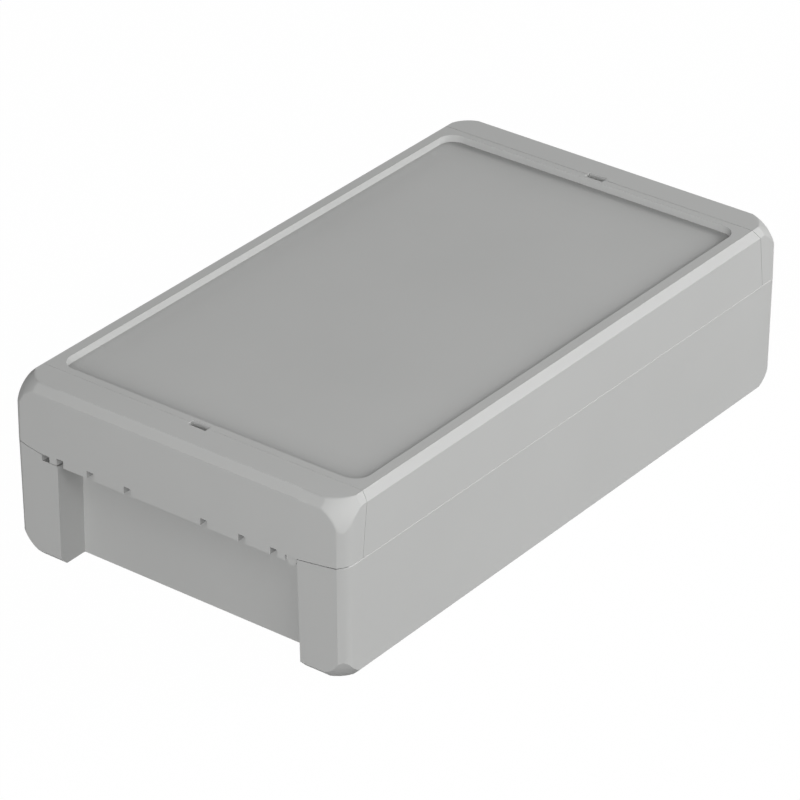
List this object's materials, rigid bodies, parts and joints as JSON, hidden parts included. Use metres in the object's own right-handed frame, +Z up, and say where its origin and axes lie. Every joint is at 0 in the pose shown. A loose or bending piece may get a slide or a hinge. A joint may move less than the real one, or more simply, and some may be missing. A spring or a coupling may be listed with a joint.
{
  "type": "plastic project box",
  "caption": "Flat plastic electronics enclosure with a gasketed lid, a recessed label panel and hinged end closures that hide the wall fixing holes.",
  "frame": {"origin": "middle of the underside", "axes": "+X along the length towards the rear closure, +Y across the width, +Z up out of the lid"},
  "size_m": [0.222, 0.125, 0.06],
  "materials": {
    "base_plastic": "light grey moulded plastic, fine satin grain",
    "lid_plastic": "light grey moulded plastic, fine satin grain",
    "closure_plastic": "light grey moulded plastic, fine satin grain",
    "seal_foam": "dark soft foam gasket"
  },
  "bodies": {
    "base": {"base": "base_plastic"},
    "front_closure": {"front_closure": "closure_plastic"},
    "lid": {"lid": "lid_plastic", "seal": "seal_foam"},
    "rear_closure": {"rear_closure": "closure_plastic"}
  },
  "joints": [
    {"name": "front_closure_hinge", "type": "hinge", "parent": "base", "child": "front_closure", "pos_m": [-0.1084, 0, 0.042], "axis": [0, -1, 0], "range_deg": [0, 90]},
    {"name": "lid_hinge", "type": "hinge", "parent": "base", "child": "lid", "pos_m": [0.1084, 0, 0.042], "axis": [0, 1, 0], "range_deg": [0, 90]},
    {"name": "rear_closure_hinge", "type": "hinge", "parent": "base", "child": "rear_closure", "pos_m": [0.1084, 0, 0.042], "axis": [0, 1, 0], "range_deg": [0, 90]}
  ],
  "couplings": [
    {"joint": "rear_closure_hinge", "follows": "lid_hinge", "ratio": 1}
  ]
}
